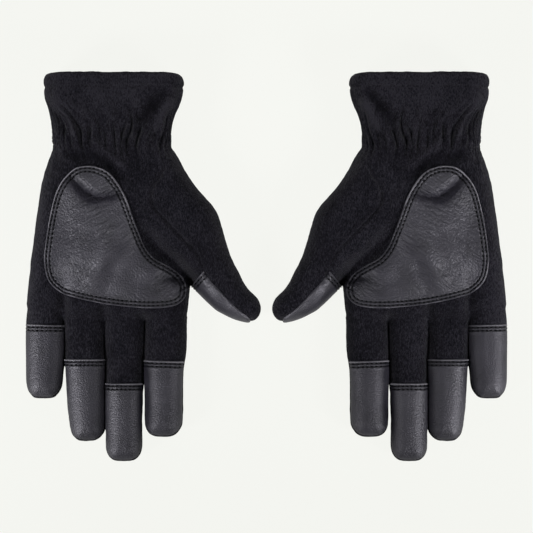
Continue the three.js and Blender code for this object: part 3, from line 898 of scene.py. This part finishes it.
# ---- leather
def hide(name, surface, inside, fold, stands_for, digit=None):
    """A leather piece over part of the cloth: inside is each point's distance from the piece's edge, and fold
    its distance from the folded, double-stitched edge."""
    surface = cut((*surface, inside, fold), inside)[0]
    for at in SCORES:
        surface = scored(surface, surface[4] - at)
    points, faces, normals, inside, fold = surface
    offset = thickness(inside, fold) + wrinkles(points)
    # Painted highlight along the rolled edge, fainter by the thumb's valley where shade falls and paler towards the
    # cuff, with painted shade in the stitch rows' channels.
    painted_light = bell(fold - 0.7, 0.55) * (1 - bell(distance(points, valley_line, False), 9))
    painted_light *= 1.3 if digit else 0.75 + 0.6 * smooth((points[:, 1] - 5) / 40)
    sewn = sum(bell(fold - row, 0.5) for row in ROWS)
    painted_light -= sewn
    creased = sum(spot(points, middle, reach) for middle, reach, *_ in LEATHER_CREASES)
    # Painted shade and highlight in the shine from the strokes, and painted shade in the stitch channels.
    painted_shade_and_highlight = sum(fold_height(points, *stroke) for stroke in painted_shine) + 0.6 * sewn
    add(f"{name}_grip", dressed((points, faces, normals), offset, 1, relief)[:2],
        FINGER_LEATHER if digit else PALM_LEATHER, digit, stands_for,
        {"painted_light": painted_light, "painted_shade_and_highlight": painted_shade_and_highlight, "creased": np.clip(creased, 0, 1) * (digit is None)})


def thickness(inside, fold):
    """How far leather stands off the cloth."""
    body = 1.35 * smooth(inside / 1.1) ** 0.7 - 0.4
    rolled = 0.62 * bell(fold - 0.75, 0.5) + 0.3 * bell(fold - 2.8, 0.6)
    rows = sum(groove(fold - row, 0.4, 0.25) for row in ROWS)
    return body + rolled + rows + 0.12 * bell(fold - 4.7, 0.6)


def wrinkles(points):
    out = 0.055 * noise(points, (9, 14, 12), 21) + 0.03 * noise(points, (3.2, 4.2, 4), 22)
    for middle, reach, way, grain, depth in LEATHER_CREASES:
        along = points[:, :2] @ way
        across = points[:, :2] @ (-way[1], way[0])
        across += 0.8 * noise(points, 7, 24)
        lines = noise(np.stack([along / 9, across / grain, 0 * along], 1), 1, 25)
        out += depth * lines * spot(points, middle, reach)
    return out + 0.02 * noise(points, (1.3, 1.6, 1.5), 23)


def from_above(places):
    """Points on the plain form over places on the floor, and the normals there."""
    low = np.full(len(places), 12.0)
    high = np.full(len(places), 44.0)
    for _ in range(18):
        middle = (low + high) / 2
        inside = form(np.column_stack([places, middle])) < 0
        low, high = np.where(inside, middle, low), np.where(inside, high, middle)
    points = np.column_stack([places, low])
    slope = gradient(form, points)
    return points, slope / np.linalg.norm(slope, axis=1)[:, None]


def inset(line, amount):
    """A closed anticlockwise line moved inwards, without the points that would cross over."""
    turn = np.roll(line, -1, axis=0) - np.roll(line, 1, axis=0)
    turn /= np.linalg.norm(turn, axis=1)[:, None]
    moved = line + np.stack([-turn[:, 1], turn[:, 0]], 1) * amount
    return moved[-distance(moved, line) > amount - 0.06]


def stitches(places, offset, closed=True):
    """Separate stitches along places on the floor, lifted onto the form and by an offset."""
    ends = (places[-1:], places[:1]) if closed else (2 * places[:1] - places[1:2], 2 * places[-1:] - places[-2:-1])
    line = np.vstack([ends[0], places, ends[1]])
    points, normals = from_above(places)
    ahead = np.column_stack([line[2:] - line[:-2], np.zeros(len(places))])
    ahead -= np.sum(ahead * normals, axis=1)[:, None] * normals
    ahead /= np.linalg.norm(ahead, axis=1)[:, None]
    across = np.cross(normals, ahead)
    centres = points + normals * (relief(points) + wrinkles(points) + offset + 0.12)[:, None]
    length, width, height = STITCH
    rows, sides = 6, 8
    verts, faces = [], []
    for centre, t, b, n in zip(centres, ahead, across, normals):
        first = len(verts)
        for row in range(rows):
            u = row / (rows - 1) * 2 - 1
            size = (1 - abs(u) ** 3) ** 0.5 * 0.85 + 0.15
            middle = centre + t * (u * length / 2) + n * (height * (1 - 1.9 * abs(u) ** 2.5))
            for side in range(sides):
                angle = 2 * math.pi * side / sides
                verts.append(middle + b * (math.cos(angle) * width * size) + n * (math.sin(angle) * height * size))
        for row in range(rows - 1):
            for side in range(sides):
                one, two = first + row * sides + side, first + row * sides + (side + 1) % sides
                faces += [(one, two, two + sides), (one, two + sides, one + sides)]
        last = first + (rows - 1) * sides
        for side in range(1, sides - 1):
            faces += [(first, first + side + 1, first + side), (last, last + side, last + side + 1)]
    return np.array(verts), np.array(faces)


def stitch_rows(rows):
    """Open rows of stitches as one mesh."""
    meshes = [stitches(row, thickness(9.0, at), closed=False) for row, at in zip(rows, ROWS)]
    verts = np.vstack([m[0] for m in meshes])
    return verts, np.vstack([meshes[0][1], meshes[1][1] + len(meshes[0][0])])


def spaced(line, pitch, closed=True):
    """Places along a line, a pitch apart."""
    loop = np.vstack([line, line[:1]]) if closed else line
    along = lengths(loop)
    count = round(along[-1] / pitch)
    at = (np.arange(count) + 0.5) / count * along[-1]
    return np.stack([np.interp(at, along, loop[:, k]) for k in (0, 1)], 1)


def make_palm_grip():
    outline = curve(PALM_PATCH, 0.8)
    low, high = outline.min(0) - 1, outline.max(0) + 1
    surface = cloth_surface(form, (*low, 14), (*high, 38), GRID["palm_grip"])
    surface = cut(surface, surface[2][:, 2] - 0.2)[0]
    inside = -distance(surface[0], outline)
    hide("palm", surface, inside, inside, ["palm_leather"])
    for row, which in zip(ROWS, ("outer", "inner")):
        line = spaced(curve(inset(outline, row)[::4], 0.8), 2.7)
        add(f"palm_stitches_{which}", stitches(line, thickness(np.full(len(line), row), np.full(len(line), row))),
            THREAD, stands_for=[f"palm_stitch_{which}"])


def make_finger_grip(name):
    outline = OUTLINES[name]
    low, high = outline.min(0), outline.max(0)
    thumb_end, little_end = PAD_TOP[name]
    slope = (little_end - thumb_end) / (high[0] - low[0])
    box = (low[0] - 1, low[1] - 1, GRIP_Z - 1), (high[0] + 1, max(PAD_TOP[name]) + 1.5, 25)
    surface = cloth_surface(finger_field(name), *box, GRID["grip"])
    x, y, z = surface[0].T
    (edge,) = finger_fields[name](surface[0])
    up = z - GRIP_Z - 2.2 * smooth((low[1] + 9 - y) / 8)
    side = np.sign(up) * np.hypot(up, np.maximum(-edge - 0.6, 0) * (up > 0))
    fold = thumb_end + slope * (x - low[0]) - y
    hide(name, surface, np.minimum(side, fold), fold, [f"{name}_leather"], name)
    rows = []
    for row in ROWS:
        x = np.linspace(low[0], high[0], 300)
        line = np.stack([x, thumb_end + slope * (x - low[0]) - row], 1)
        room = -np.maximum(finger_fields[name](line)[0], lane_wall(line, name) + 0.4)
        line = line[room > 1.5]
        rows.append(spaced(line[[0, -1]], 2.55, False))
    add(f"{name}_grip_stitches", stitch_rows(rows), THREAD, name)


def make_thumb_grip():
    surface = cloth_surface(form, (-86, -36, 3), (-37, 4, 30), GRID["grip"])
    surface = cut(surface, on_thumb(surface[0]) + 1)[0]
    x, y, z = surface[0].T
    top_a, top_b = np.array(THUMB_GRIP_TOP)
    along = (top_b - top_a) / np.linalg.norm(top_b - top_a)
    normal = np.array([-along[1], along[0]])
    fold = (surface[0][:, :2] - top_a) @ normal
    edge = distance(surface[0], polygon(THUMB_GRIP_AREA))
    inside = np.minimum.reduce([-edge, fold, z - 4.5])
    hide("thumb", surface, inside, fold, ["thumb_leather"], "thumb")
    # The stitches stop short of both ends of the folded edge.
    inner, outer = top_a + (top_b - top_a) * 0.22, top_b - (top_b - top_a) * 0.1
    rows = [spaced(np.array([inner, outer]) + normal * row, 2.5, False) for row in ROWS]
    add("thumb_grip_stitches", stitch_rows(rows), THREAD, "thumb")


make_hand()
make_thumb()
make_palm_grip()
make_thumb_grip()
for name in FINGERS:
    make_finger(name)
    make_finger_grip(name)

# ---- stage, light and camera
floor_data = bpy.data.meshes.new("floor")
floor_data.from_pydata([(-3, -3, 0), (3, -3, 0), (3, 3, 0), (-3, 3, 0)], [], [(0, 1, 2, 3)])
floor = bpy.data.objects.new("floor", floor_data)
bpy.context.scene.collection.objects.link(floor)
floor_data.materials.append(Look("floor").shaded({
    "Base Color": (0.02, 0.02, 0.02, 1),
    "Roughness": 1,
    "Specular IOR Level": 0,
    "Emission Color": (0.888, 0.896, 0.856, 1),
    "Emission Strength": 1,
}))


def area_light(name, place, size, power, target, spread):
    lamp = bpy.data.lights.new(name, "AREA")
    lamp.shape = "RECTANGLE"
    lamp.size, lamp.size_y = size
    lamp.energy = power
    lamp.spread = math.radians(spread)
    made = bpy.data.objects.new(name, lamp)
    made.location = place
    made.rotation_euler = (Vector(target) - Vector(place)).to_track_quat("-Z", "Y").to_euler()
    bpy.context.scene.collection.objects.link(made)


area_light("top", (0, 0.62, 0.3), (0.5, 0.25), 1.0, (0, 0, 0), 120)
area_light("left_side", (-0.62, -0.32, 0.42), (0.3, 0.3), 0.6, (-0.15, 0, 0), 31)
area_light("right_side", (0.62, -0.32, 0.42), (0.3, 0.3), 0.6, (0.15, 0, 0), 31)

world = bpy.data.worlds.new("world")
world.use_nodes = True
world.node_tree.nodes["Background"].inputs["Color"].default_value = (1, 1, 1, 1)
world.node_tree.nodes["Background"].inputs["Strength"].default_value = 0.07
bpy.context.scene.world = world
bpy.context.scene.view_settings.view_transform = "Standard"

VIEW_WIDTH = 0.328
HEIGHT = 1.6
camera_data = bpy.data.cameras.new("camera")
camera_data.lens = camera_data.sensor_width * HEIGHT / VIEW_WIDTH
camera = bpy.data.objects.new("camera", camera_data)
camera.location = (0, 0, HEIGHT + 0.015)
bpy.context.scene.collection.objects.link(camera)
bpy.context.scene.camera = camera
